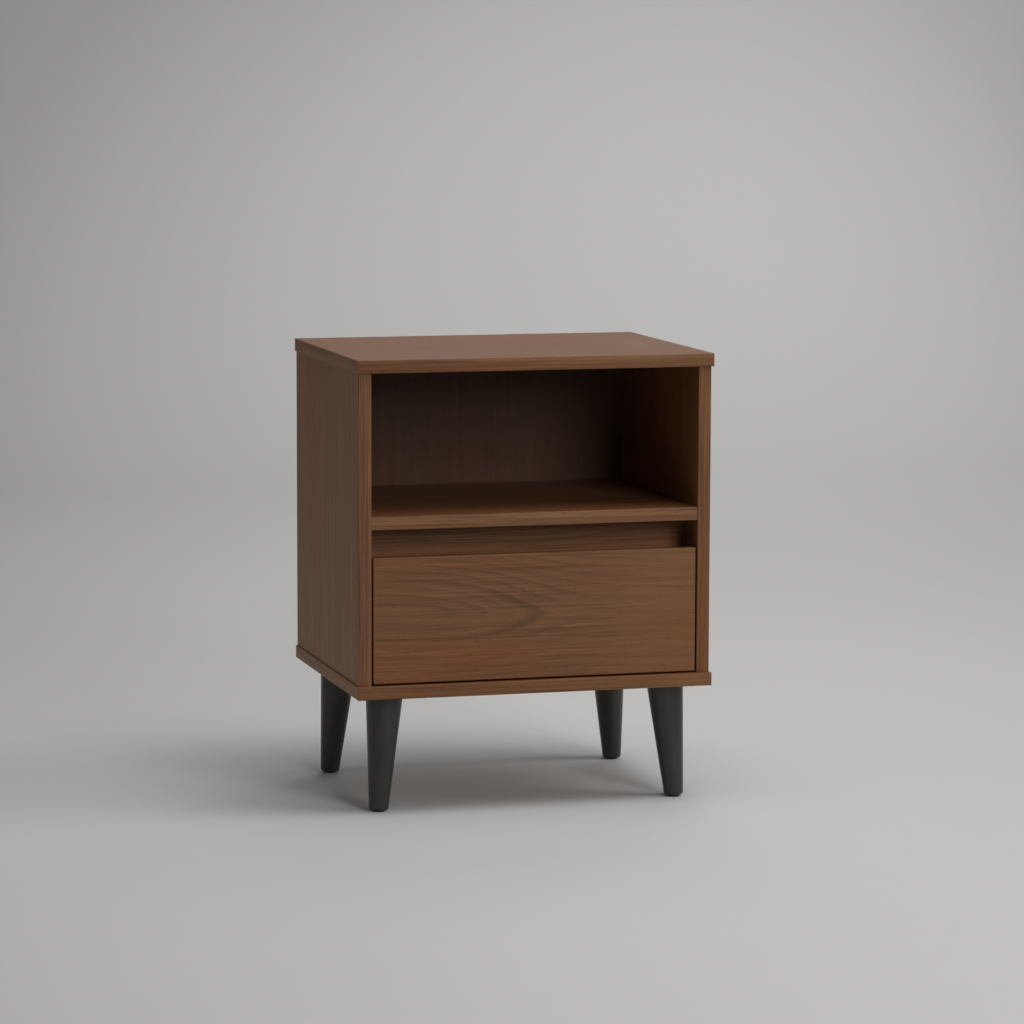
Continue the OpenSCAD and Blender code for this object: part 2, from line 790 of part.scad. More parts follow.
// Draws its children with +Z up a leg's own axis and z 0 where that axis meets the bottom panel
module leg_axis(sx, sy) {
    translate([sx * leg_x, sy * leg_y, leg_h])
        rotate([0, 0, atan2(sy, sx)]) rotate([0, -leg_splay, 0]) children();
}

// Outline of half a leg, as [radius, height above its foot], with a rounded rim at the foot
function leg_outline(len) = concat(
    [[0, 0]],
    [for (a = [-90 : 15 : 0]) [leg_foot_r - foot_round + foot_round * cos(a), foot_round + foot_round * sin(a)]],
    [[leg_top_r, len], [0, len]]
);

module leg(sx, sy) {
    foot_down = (leg_h - glide_t + foot_trim) / cos(leg_splay);
    color(leg_black) difference() {
        leg_axis(sx, sy) translate([0, 0, -foot_down])
            rotate_extrude($fn = 96) polygon(leg_outline(foot_down - mount_drop));
        leg_axis(sx, sy) translate([0, 0, -mount_drop - hanger_down - 1])
            cylinder(h = hanger_down + 2, r = hanger_r + hole_play);
        translate([sx * (leg_x + foot_reach), sy * (leg_y + foot_reach), 0]) {
            translate([0, 0, glide_t - leg_top_r]) cylinder(h = leg_top_r, r = 2 * leg_foot_r);
            cylinder(h = glide_t + nail_len + pilot_extra, r = nail_r + hole_play);
        }
    }
}

// Moulded mounts: a screw plate, and a wedge that fills the tilt between the plate and the leg
module leg_mounts() {
    color(plastic_black) for (sx = [left, right], sy = [front, rear]) difference() {
        union() {
            translate([sx * leg_x - plate_w / 2, sy * leg_y - plate_w / 2, leg_h - plate_t])
                cube([plate_w, plate_w, plate_t]);
            intersection() {
                leg_axis(sx, sy) translate([0, 0, -mount_drop]) cylinder(h = 2 * mount_drop, r = leg_top_r);
                translate([sx * leg_x - plate_w / 2, sy * leg_y - plate_w / 2, leg_h - plate_t / 2 - 2 * mount_drop])
                    cube([plate_w, plate_w, 2 * mount_drop]);
            }
        }
        leg_axis(sx, sy) translate([0, 0, -mount_drop - 1]) cylinder(h = 2 * mount_drop + 2, r = insert_r);
        translate([sx * leg_x, sy * leg_y, leg_h - plate_t]) plate_screw_places() {
            translate([0, 0, -1]) cylinder(h = plate_t + 2, r = plate_screw_r + hole_play);
            countersink(plate_screw_r, plate_head_r);
        }
    }
}

module leg_mount_screws() {
    color(zinc) at_leg_places() plate_screw_places() translate([0, 0, -plate_t])
        countersunk(plate_screw_r, plate_head_r, plate_t + plate_screw_depth);
}

// Threaded inserts moulded into the mounts
module leg_inserts() {
    color(brass) for (sx = [left, right], sy = [front, rear]) leg_axis(sx, sy)
        translate([0, 0, -mount_drop]) difference() {
            cylinder(h = mount_drop + insert_up, r = insert_r);
            translate([0, 0, -1]) cylinder(h = mount_drop + insert_up + 2, r = hanger_r + hole_play);
        }
}

module leg_hanger_bolts() {
    color(steel) for (sx = [left, right], sy = [front, rear]) leg_axis(sx, sy)
        translate([0, 0, -mount_drop - hanger_down]) {
            cylinder(h = hanger_down + mount_drop + hanger_up - 1, r = hanger_r);
            translate([0, 0, hanger_down + mount_drop + hanger_up - 1])
                cylinder(h = 1, r1 = hanger_r, r2 = hanger_r - 1);
        }
}

// Nail-on glides under the feet
module leg_glides() {
    color(plastic_black) for (sx = [left, right], sy = [front, rear])
        translate([sx * (leg_x + foot_reach), sy * (leg_y + foot_reach), 0]) {
            cylinder(h = glide_t / 2, r1 = glide_r - glide_t / 4, r2 = glide_r);
            translate([0, 0, glide_t / 2]) cylinder(h = glide_t / 2, r = glide_r);
            translate([0, 0, glide_t - eps]) cylinder(h = nail_len, r = nail_r);
        }
}

top_panel();
top_edge_bands();
bottom_panel();
bottom_edge_bands();
side_panel(left);  // left_side_panel
side_panel(right);  // right_side_panel
side_edge_bands();
shelf_panel();
shelf_edge_band();
back_panel();
finger_rail();
rail_edge_band();
carcass_dowels();
carcass_cam_bolts();
carcass_cam_locks();
cam_cover_caps();
drawer_front();
drawer_front_edge_bands();
drawer_side(left);  // drawer_left_side
drawer_side(right);  // drawer_right_side
drawer_back();
drawer_base();
drawer_box_edge_bands();
drawer_cam_bolts();
drawer_cam_locks();
drawer_dowels();
drawer_back_screws();
slide_cabinet_member(left);  // left_slide_cabinet_member
slide_cabinet_member(right);  // right_slide_cabinet_member
slide_middle_member(left);  // left_slide_middle_member
slide_middle_member(right);  // right_slide_middle_member
slide_drawer_member(left);  // left_slide_drawer_member
slide_drawer_member(right);  // right_slide_drawer_member
ball_retainers(left, outer_up);  // left_outer_ball_retainers
ball_retainers(right, outer_up);  // right_outer_ball_retainers
ball_retainers(left, inner_up);  // left_inner_ball_retainers
ball_retainers(right, inner_up);  // right_inner_ball_retainers
balls(left, outer_up);  // left_outer_balls
balls(right, outer_up);  // right_outer_balls
balls(left, inner_up);  // left_inner_balls
balls(right, inner_up);  // right_inner_balls
release_lever(left);  // left_release_lever
release_lever(right);  // right_release_lever
lever_rivets();
slide_cabinet_screws();
slide_drawer_screws();
slide_bumpers();
leg(left, front);  // front_left_leg
leg(right, front);  // front_right_leg
leg(left, rear);  // rear_left_leg
leg(right, rear);  // rear_right_leg
leg_mounts();
leg_mount_screws();
leg_inserts();
leg_hanger_bolts();
leg_glides();
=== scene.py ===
"""Looks of a walnut nightstand round its fixed frame: boards, edge bands, turned legs and their finishes."""
import json
import math

import bmesh
import bpy
from mathutils import Matrix, Vector


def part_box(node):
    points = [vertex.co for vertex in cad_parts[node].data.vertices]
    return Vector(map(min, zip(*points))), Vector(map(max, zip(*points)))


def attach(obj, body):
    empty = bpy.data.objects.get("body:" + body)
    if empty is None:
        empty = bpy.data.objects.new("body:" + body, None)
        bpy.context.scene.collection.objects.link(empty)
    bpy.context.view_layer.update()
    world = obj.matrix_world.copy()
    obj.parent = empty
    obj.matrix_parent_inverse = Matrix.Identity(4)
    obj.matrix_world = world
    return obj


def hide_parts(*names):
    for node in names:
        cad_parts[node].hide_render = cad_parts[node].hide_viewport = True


MM = 0.001

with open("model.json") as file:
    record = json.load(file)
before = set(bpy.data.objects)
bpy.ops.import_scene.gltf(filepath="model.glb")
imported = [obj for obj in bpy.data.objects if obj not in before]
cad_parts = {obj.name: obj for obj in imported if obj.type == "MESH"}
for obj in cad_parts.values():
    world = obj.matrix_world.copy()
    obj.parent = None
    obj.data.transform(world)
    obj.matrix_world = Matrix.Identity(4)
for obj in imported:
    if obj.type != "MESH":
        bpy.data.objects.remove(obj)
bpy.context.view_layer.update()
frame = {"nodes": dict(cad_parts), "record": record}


# ---------------------------------------------------------------- camera, floor and light

CAMERA_PLACE = (-1.2488, -4.4726, 0.9040)
CAMERA_LENS = 140.08
CAMERA_PITCH, CAMERA_ROLL, CAMERA_YAW = -7.1177, -0.1808, -15.7523
CAMERA_REACH = 60

FLOOR_HALF = 6.0
BACKDROP_Y = 3.0                # where the paper starts to curve up
VIEW_SLOPE = 0.283              # how far the line of sight moves right for each metre back
SWEEP_RADIUS = 1.7
SWEEP_STEPS = 24
WALL_HEIGHT = 4

CABINET_MIDDLE = (0, 0, 0.3)
LIGHTS = (
    # name, place, what it faces, side in metres, watts
    ("front_light", (0.75, -2.9, 1.35), CABINET_MIDDLE, 1.0, 26),
    ("side_light", (2.9, -1.0, 2.3), CABINET_MIDDLE, 1.8, 34),
    ("top_light", (0.2, -0.4, 3.6), CABINET_MIDDLE, 2.0, 48),
    ("key_light", (1.5, -1.1, 3.5), CABINET_MIDDLE, 1.6, 17),
    ("left_light", (-3.4, 0.0, 2.0), CABINET_MIDDLE, 2.0, 7),
    ("rear_floor_light", (1.2, 2.4, 3.6), (1.2, 2.6, 0), 2.0, 27),
    ("backdrop_light", (2.6, 3.2, 2.2), (0.6, 4.7, 0.5), 1.2, 17),
)
ROOM_LIGHT = 0.085


def make_camera():
    """A long lens from the left of the front, a little above the top panel."""
    view = bpy.data.cameras.new("camera")
    view.lens = CAMERA_LENS
    view.clip_end = CAMERA_REACH
    camera = bpy.data.objects.new("camera", view)
    camera.location = CAMERA_PLACE
    camera.rotation_euler = [math.radians(a) for a in (90 + CAMERA_PITCH, CAMERA_ROLL, CAMERA_YAW)]
    bpy.context.collection.objects.link(camera)
    bpy.context.scene.camera = camera


def make_light(name, place, target, side, watts):
    """A soft white box that faces the target and stays out of the view itself."""
    lamp = bpy.data.lights.new(name, "AREA")
    lamp.shape = "RECTANGLE"
    lamp.size, lamp.size_y = side, side
    lamp.energy = watts
    light = bpy.data.objects.new(name, lamp)
    light.visible_camera = False
    light.location = place
    light.rotation_euler = (Vector(target) - Vector(place)).to_track_quat("-Z", "Y").to_euler()
    bpy.context.collection.objects.link(light)


def make_lights():
    for light in LIGHTS:
        make_light(*light)
    room = bpy.data.worlds.new("studio")
    room.use_nodes = True
    sky = room.node_tree.nodes["Background"]
    sky.inputs["Color"].default_value = (1, 1, 1, 1)
    sky.inputs["Strength"].default_value = ROOM_LIGHT
    bpy.context.scene.world = room


# ---------------------------------------------------------------- shader helpers

class Field:
    """A value that varies over a surface, so that shader maths reads as arithmetic."""

    def __init__(self, finish, socket):
        self.finish = finish
        self.socket = socket

    def _math(self, operation, first, second):
        return self.finish.node("ShaderNodeMath", {"operation": operation}, (first, second))

    def __add__(self, other):
        return self._math("ADD", self, other)

    def __sub__(self, other):
        return self._math("SUBTRACT", self, other)

    def __rsub__(self, other):
        return self._math("SUBTRACT", other, self)

    def __mul__(self, other):
        return self._math("MULTIPLY", self, other)

    def __pow__(self, other):
        return self._math("POWER", self, other)

    def __abs__(self):
        return self.finish.node("ShaderNodeMath", {"operation": "ABSOLUTE"}, (self,))

    def fraction(self):
        """What is left above the whole number."""
        return self.finish.node("ShaderNodeMath", {"operation": "FRACT"}, (self,))

    __radd__ = __add__
    __rmul__ = __mul__


class Finish:
    """A material in the making: one shader, and the nodes that feed it."""

    def __init__(self, name, **shader):
        self.material = bpy.data.materials.new(name)
        self.material.use_nodes = True
        self.tree = self.material.node_tree
        self.shader = self.tree.nodes["Principled BSDF"]
        for socket, value in shader.items():
            self.shader.inputs[socket.replace("_", " ").title().replace("Ior", "IOR")].default_value = value

    def node(self, kind, settings, inputs, out=0):
        """Adds a node, its settings first and then the values or links of its sockets."""
        made = self.tree.nodes.new(kind)
        for name, value in settings.items():
            setattr(made, name, value)
        for key, value in inputs.items() if isinstance(inputs, dict) else enumerate(inputs):
            if isinstance(value, Field):
                self.tree.links.new(value.socket, made.inputs[key])
            else:
                made.inputs[key].default_value = value
        return Field(self, made.outputs[out])

    def feed(self, socket, field):
        self.tree.links.new(field.socket, self.shader.inputs[socket])

    def place(self, turn=(0, 0, 0), offset=(0, 0, 0)):
        """Object coordinates, turned so that the grain runs along X, at their own part of the pattern."""
        where = self.node("ShaderNodeTexCoord", {}, {}, "Object")
        return self.node("ShaderNodeMapping", {}, {"Vector": where, "Rotation": turn, "Location": offset})

    def axes(self, where):
        """The three parts of a place, as fields."""
        split = self.node("ShaderNodeSeparateXYZ", {}, (where,)).socket.node
        return [Field(self, socket) for socket in split.outputs]

    def stretched(self, where, scale):
        """A place, scaled along each axis by its own number."""
        return self.node("ShaderNodeVectorMath", {"operation": "MULTIPLY"}, (where, scale))

    def noise(self, where, scale, detail=3.0, roughness=0.5):
        """Fractal noise, with its own number of cells a metre along each axis."""
        return self.node(
            "ShaderNodeTexNoise", {},
            {"Vector": self.stretched(where, scale), "Scale": 1.0, "Detail": detail, "Roughness": roughness},
        )

    def between(self, field, low, high, to_low=0.0, to_high=1.0):
        """Maps low..high smoothly onto to_low..to_high."""
        return self.node(
            "ShaderNodeMapRange", {"interpolation_type": "SMOOTHSTEP"}, (field, low, high, to_low, to_high)
        )

    def mix(self, share, first, second, blend="MIX"):
        """Mixes two colours."""
        return self.node(
            "ShaderNodeMix", {"data_type": "RGBA", "blend_type": blend},
            {0: share, 6: first, 7: second}, 2,
        )

    def bump(self, height, distance):
        """Raises the surface by the height field, by up to the distance in metres."""
        self.feed("Normal", self.node(
            "ShaderNodeBump", {}, {"Height": height, "Distance": distance, "Strength": 1.0}
        ))


def linear(part):
    """One part of a colour, from a 0..255 screen value to the linear value that a shader wants."""
    part = part / 255
    return part / 12.92 if part <= 0.04045 else ((part + 0.055) / 1.055) ** 2.4


def shade(red, green, blue):
    """A colour given in 0..255 screen values."""
    return (linear(red), linear(green), linear(blue), 1)


# ---------------------------------------------------------------- finishes

QUARTER = math.radians(90)
LYING_X = (0, 0, 0)                     # grain along X, seen from above
LYING_Y = (0, 0, -QUARTER)              # grain along Y, seen from above
STANDING_X = (-QUARTER, 0, 0)           # grain along X, seen from the front
STANDING_Y = (0, QUARTER, -QUARTER)     # grain along Y, seen from the side
STANDING_Z = (0, QUARTER, 0)            # grain along Z, seen from the side

UMBER = shade(62, 39, 23)
SMOKE = shade(90, 62, 39)
TAWNY = shade(126, 87, 57)
RUSSET = shade(130, 81, 46)
HONEY = shade(152, 105, 65)
PORE = shade(42, 28, 18)

# Cells a metre of each kind of mark: along the grain, across it and into the board.
WANDER = (2.4, 10, 10)
RIPPLE = (9, 70, 70)
PATCH = (3.0, 26, 26)
BROAD = (1.6, 12, 12)
STREAK = (2.6, 150, 150)
LINE = (6.5, 420, 420)
FIBRE = (8, 620, 620)
PORES = (95, 2100, 2100)

ARCH_LENGTH = 0.22              # the arches close over this length, from this half width
ARCH_HALF = 0.040
ARCH_SLOPE = 0.06               # the arches run slightly downhill to the right
ARCH_ROUND, ARCH_POINT = 85, 30         # rings a metre, of a round arch and of a pointed one
ARCH_RING_SHARE = 0.62
HEART_RING = 3.65               # the dark ring round the heart, and its half width in rings
HEART_WIDTH = 0.55
CALM_START, CALM_END = 0.19, 0.30       # to the right of the arches the grain grows quiet

STRAIGHT_RINGS = 95             # rings a metre on the plain boards
STRAIGHT_SLANT = 0.7
STRAIGHT_RING_SHARE = 0.50
PORE_DEPTH = 0.00005

# How strongly each kind of mark shows in its colour.
STREAK_SHARE = 0.36
LINE_SHARE = 0.42
FIBRE_SHARE = 0.42
HONEY_SHARE = 0.36
PORE_SHARE = 0.45
CALM_SHARE = 0.10
FIGURE_CONTRAST, CALM_CONTRAST_LOSS = 0.75, 0.35


def arched_rings(f, grain, across, slow, quick):
    """Nested arches that open to the left, as rings counted from the heart."""
    beside = across + (slow - 0.5) * 0.014 + (quick - 0.5) * 0.003 + grain * ARCH_SLOPE
    closing = f.between(grain + (quick - 0.5) * 0.014, 0.0, ARCH_LENGTH, 0.0, ARCH_HALF)
    rounded = (beside * beside + closing * closing) ** 0.5
    pointed = abs(beside) + closing
    return rounded * ARCH_ROUND + pointed * ARCH_POINT


def straight_rings(across, through, slow, quick):
    """Gently wandering lines along the board."""
    bend = (slow - 0.5) * 0.050 + (quick - 0.5) * 0.0035
    return (across + through * STRAIGHT_SLANT + bend) * STRAIGHT_RINGS


def darken_heart(f, colour, rings, grain):
    """Smokes the ring round the heart of the arches, more towards their tip."""
    ring = f.between(abs(rings - HEART_RING), 0.0, HEART_WIDTH, 1.0, 0.0)
    growing = f.between(grain, 0.0, 0.15, 0.1, 0.6)
    ending = f.between(grain, 0.17, 0.24, 1.0, 0.0)
    return f.mix(ring * growing * ending, colour, SMOKE)


def walnut(name, turn, offset, figure=False, contrast=1.0, tone_and_painted_light=1.0, sheen=0.25):
    """Printed walnut laminate. A figure is a set of nested arches that starts at the pattern's origin."""
    f = Finish(name, specular_ior_level=sheen)
    where = f.place(turn, offset)
    grain, across, through = f.axes(where)

    slow = f.noise(where, WANDER, 2.0)
    quick = f.noise(where, RIPPLE, 3.0, 0.6)
    if figure:
        rings = arched_rings(f, grain, across, slow, quick)
        ring_share = ARCH_RING_SHARE
    else:
        rings = straight_rings(across, through, slow, quick)
        ring_share = STRAIGHT_RING_SHARE
    part = rings.fraction()
    ring = part ** 2.2 * f.between(part, 0.84, 1.0, 1.0, 0.0)
    ring_strength = f.between(f.noise(where, PATCH, 2.0), 0.36, 0.62, 0.25, 1.0)

    fibre = f.noise(where, FIBRE, 4.0, 0.6)
    streak = f.noise(where, STREAK, 3.0, 0.5)
    line = f.noise(where, LINE, 2.0, 0.4)
    pore = f.noise(where, PORES, 2.0, 0.5)
    broad = f.noise(where, BROAD, 2.0)

    colour = f.mix(f.between(broad, 0.36, 0.64), TAWNY, RUSSET)
    if figure:
        calm = f.between(grain, CALM_START, CALM_END)
        contrast = FIGURE_CONTRAST - calm * CALM_CONTRAST_LOSS
        colour = f.mix(calm * CALM_SHARE, colour, HONEY)
        colour = darken_heart(f, colour, rings, grain)
    colour = f.mix(f.between(streak, 0.44, 0.68) * (STREAK_SHARE * contrast), colour, SMOKE)
    colour = f.mix(ring * ring_strength * (ring_share * contrast), colour, UMBER)
    colour = f.mix(f.between(line, 0.54, 0.68) * (LINE_SHARE * contrast), colour, UMBER)
    colour = f.mix(f.between(fibre, 0.50, 0.66) * (FIBRE_SHARE * contrast), colour, SMOKE)
    colour = f.mix(f.between(fibre, 0.48, 0.32) * (HONEY_SHARE * contrast), colour, HONEY)
    colour = f.mix(f.between(pore, 0.60, 0.72) * PORE_SHARE, colour, PORE)
    # For most boards this multiplies painted light and shade into the print, set to suit this studio's light.
    if tone_and_painted_light != 1.0:
        colour = f.mix(1.0, colour, (tone_and_painted_light, tone_and_painted_light, tone_and_painted_light, 1), "MULTIPLY")
    f.feed("Base Color", colour)
    f.feed("Roughness", 0.40 + fibre * 0.14 + f.between(pore, 0.6, 0.74) * 0.15)
    f.bump(f.between(pore, 0.55, 0.75, 1.0, 0.0) + fibre * 0.4, PORE_DEPTH)
    return f.material


def black_lacquer():
    """Satin black lacquer on a turned leg, with faint wood grain that telegraphs through."""
    f = Finish("black_lacquer", roughness=0.42, coat_weight=0.15, coat_roughness=0.3)
    where = f.place()
    grain = f.noise(where, (260, 260, 9), 3.0, 0.6)
    cloud = f.noise(where, (30, 30, 14), 2.0)
    f.feed("Base Color", f.mix(f.between(cloud, 0.3, 0.7), shade(34, 33, 30), shade(44, 43, 39)))
    f.feed("Roughness", 0.36 + cloud * 0.10 + grain * 0.06)
    f.bump(grain, 0.00005)
    return f.material


def plain(name, low, high, grain, roughness, metallic=0.0, depth=0.00003):
    """A moulded, cast or painted surface: two close shades, and a fine texture."""
    f = Finish(name, metallic=metallic)
    where = f.place()
    cloud = f.noise(where, (45, 45, 45), 3.0)
    fine = f.noise(where, grain, 3.0, 0.6)
    f.feed("Base Color", f.mix(f.between(cloud, 0.3, 0.7), shade(*low), shade(*high)))
    f.feed("Roughness", roughness - 0.06 + cloud * 0.06 + fine * 0.08)
    f.bump(fine, depth)
    return f.material


PAINTED_POOL_SIDE = 0.096              # the painted pool of light is lightest this far to the right, in metres
PAINTED_POOL_ASIDE = 1.546             # how fast the painted light falls off sideways, backwards and upwards
PAINTED_POOL_AWAY = 0.283
PAINTED_POOL_UP = 2.0
PAINTED_POOL_START = 1.401
PAINTED_POOL_REACH = (-0.6, 7.0)
PAPER_AND_POOL_GREYS = (0.634, 0.428)
PAPER_FINE = 0.012
PAPER_GREEN, PAPER_BLUE = 0.992, 0.976      # a slightly warm white


def paper_with_painted_light_pool():
    """Pale grey paper with a painted pool of light: lighter round the cabinet than out at the edges."""
    f = Finish("studio_paper_painted_pool", roughness=0.9)
    where = f.place()
    fine = f.noise(where, (40, 40, 40), 3.0)
    x, y, z = f.axes(where)
    # Painted pool of light: lightest on the line of sight just right of the cabinet, darker sideways,
    # backwards and upwards from there.
    aside = (x - y * VIEW_SLOPE - PAINTED_POOL_SIDE) * PAINTED_POOL_ASIDE
    away = y * PAINTED_POOL_AWAY + z * PAINTED_POOL_UP - PAINTED_POOL_START
    far = aside * aside + away * away
    grey = f.between(far, *PAINTED_POOL_REACH, *PAPER_AND_POOL_GREYS) + fine * PAPER_FINE
    f.feed("Base Color", f.node("ShaderNodeCombineColor", {}, (grey, grey * PAPER_GREEN, grey * PAPER_BLUE)))
    return f.material


# ---------------------------------------------------------------- modelling helpers

TOUCH = 0.02 * MM               # places closer than this count as the same
HAIRLINE = 0.12 * MM            # the broken arris of a board, which shows as a fine joint line
BAND_ROUND = 0.75 * MM          # the rounding of an edge band's outer edges
LOCK_PLAY = 0.1 * MM            # room round a cam lock in its seat
LOCK_SINK = 0.4 * MM            # how far the seat's cutter stands past the lock at each end
LOCK_SIDES = 48
SMOOTH_ANGLE = math.radians(40)


def deselect():
    bpy.ops.object.select_all(action="DESELECT")


def apply_place():
    bpy.ops.object.transform_apply(location=True, rotation=True, scale=True)


def block(low, high):
    """A box primitive between two corners, left selected and active."""
    deselect()
    low, high = Vector(low), Vector(high)
    bpy.ops.mesh.primitive_cube_add(size=1, location=(low + high) / 2)
    bpy.context.object.scale = high - low
    apply_place()
    return bpy.context.object


def pick_edges(piece, keep):
    """Enters edit mode with just the edges selected that keep accepts, by their two ends."""
    bpy.ops.object.mode_set(mode="EDIT")
    bpy.ops.mesh.select_mode(type="EDGE")
    bpy.ops.mesh.select_all(action="DESELECT")
    mesh = bmesh.from_edit_mesh(piece.data)
    for edge in mesh.edges:
        edge.select_set(keep(edge.verts[0].co, edge.verts[1].co))
    bmesh.update_edit_mesh(piece.data)


def ease(piece, width, keep=lambda a, b: True, segments=3):
    """Rounds the edges of the active piece that keep accepts."""
    pick_edges(piece, keep)
    bpy.ops.mesh.bevel(offset=width, segments=segments, affect="EDGES", profile=0.5)
    bpy.ops.object.mode_set(mode="OBJECT")
    bpy.ops.object.shade_smooth_by_angle(angle=SMOOTH_ANGLE)


def join(parts):
    if len(parts) == 1:
        return parts[0]
    deselect()
    for part in parts:
        part.select_set(True)
    bpy.context.view_layer.objects.active = parts[0]
    bpy.ops.object.join()
    return bpy.context.object


def place_piece(piece, name, material, slot, body, *nodes):
    """Names a piece, gives it its finish, hides the CAD nodes that it stands for and hangs it on the body
    that it moves with.
    """
    deselect()
    piece.select_set(True)
    bpy.context.view_layer.objects.active = piece
    apply_place()
    piece.name = name
    piece.data.name = name
    piece.data.materials.clear()
    piece.data.materials.append(material)
    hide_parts(*nodes)
    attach(piece, body)
    return piece


def solids_of(node):
    """The box of each separate solid of a CAD node."""
    mesh = bmesh.new()
    mesh.from_mesh(frame["nodes"][node].data)
    bmesh.ops.remove_doubles(mesh, verts=mesh.verts, dist=TOUCH / 10)
    left = set(mesh.verts)
    boxes = []
    while left:
        ahead = [left.pop()]
        found = []
        while ahead:
            vert = ahead.pop()
            found.append(vert.co.copy())
            for edge in vert.link_edges:
                other = edge.other_vert(vert)
                if other in left:
                    left.remove(other)
                    ahead.append(other)
        boxes.append((
            Vector([min(v[i] for v in found) for i in range(3)]),
            Vector([max(v[i] for v in found) for i in range(3)]),
        ))
    mesh.free()
    return sorted(boxes, key=lambda box: tuple(box[0]))


def bore_for_locks(piece, locks):
    """Cuts the round seats of the cam locks that lie inside a board."""
    low = Vector(piece.bound_box[0])
    high = Vector(piece.bound_box[6])
    cutters = []
    for lock_low, lock_high in solids_of(locks):
        middle = (lock_low + lock_high) / 2
        if not all(low[i] < middle[i] < high[i] for i in range(3)):
            continue
        size = lock_high - lock_low
        axis = min(range(3), key=lambda i: size[i])
        deselect()
        bpy.ops.mesh.primitive_cylinder_add(
            vertices=LOCK_SIDES, radius=max(size) / 2 + LOCK_PLAY, depth=size[axis] + 2 * LOCK_SINK,
            location=middle, rotation=[(0, QUARTER, 0), (QUARTER, 0, 0), (0, 0, 0)][axis],
        )
        apply_place()
        cutters.append(bpy.context.object)
    cutter = join(cutters)
    deselect()
    piece.select_set(True)
    bpy.context.view_layer.objects.active = piece
    cut = piece.modifiers.new("seats", "BOOLEAN")
    cut.object = cutter
    cut.operation = "DIFFERENCE"
    cut.solver = "EXACT"
    bpy.ops.object.modifier_apply(modifier=cut.name)
    bpy.data.objects.remove(cutter)


# ---------------------------------------------------------------- boards and their edge bands

# How light each board's print is beside the plain one. These were set to suit this studio's light, so they
# are painted light and shade:
# they make one board lighter or darker than another where the light falls differently; on the real cabinet
# all these boards have the same print.
LEFT_SIDE_PAINTED_LIGHT = 1.46
RIGHT_SIDE_PAINTED_LIGHT = 1.15
SHORT_BAND_PAINTED_LIGHT = 1.48
SHELF_PAINTED_SHADE = 0.88
SHELF_BAND_PAINTED_LIGHT = 1.15
RAIL_PAINTED_LIGHT = 1.5
BOX_LIGHTNESS, BOX_CONTRAST = 1.15, 0.6
BACK_PAINTED_SHADE, BACK_CONTRAST = 0.46, 0.35
TOP_SHEEN = 0.5


def board(name, node, material, slot="walnut_laminate", body="cabinet", locks=None):
    """A board between its bands: its arrises are only just broken, which leaves a fine line at each joint."""
    piece = block(*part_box(node))
    ease(piece, HAIRLINE, segments=1)
    if locks:
        bore_for_locks(piece, locks)
    return place_piece(piece, name, material, slot, body, node)


def strip(low, high, axis, sign, ends=True):
    """One edge band, rounded round its outer face, which looks along sign times the axis."""
    piece = block(low, high)
    low, high = Vector(low), Vector(high)
    size = high - low
    outer = (high if sign > 0 else low)[axis]
    run = max(range(3), key=lambda i: size[i])

    def at_outer_edge(a, b):
        in_face = abs(a[axis] - outer) < TOUCH and abs(b[axis] - outer) < TOUCH
        return in_face and (ends or abs(a[run] - b[run]) > TOUCH)

    ease(piece, BAND_ROUND, at_outer_edge)
    return piece


def band(name, strips, material, node, body="cabinet"):
    """Glued edge bands that share a grain direction, as one piece."""
    return place_piece(join(strips), name, material, "walnut_edge_band", body, node)


def band_panel(name, core, node):
    """The four bands round a panel: front and rear run through, left and right fit between them."""
    low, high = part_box(node)
    in_low, in_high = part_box(core)
    sideways = [
        strip(low, (high.x, in_low.y, high.z), 1, -1),
        strip((low.x, in_high.y, low.z), high, 1, 1),
    ]
    lengthways = [
        strip((low.x, in_low.y, low.z), (in_low.x, in_high.y, high.z), 0, -1, ends=False),
        strip((in_high.x, in_low.y, low.z), (high.x, in_high.y, high.z), 0, 1, ends=False),
    ]
    seed = low.z * 3
    band(name + "_long_bands", sideways, walnut(name + "_long_band", STANDING_X, (seed, 0.2, seed)), node)
    # Painted light: the short bands' print is made lighter to suit this studio's light.
    print_across_with_painted_light = walnut(name + "_short_band", LYING_Y, (seed, 0.1, 0.4), tone_and_painted_light=SHORT_BAND_PAINTED_LIGHT)
    band(name + "_short_bands", lengthways, print_across_with_painted_light, node)


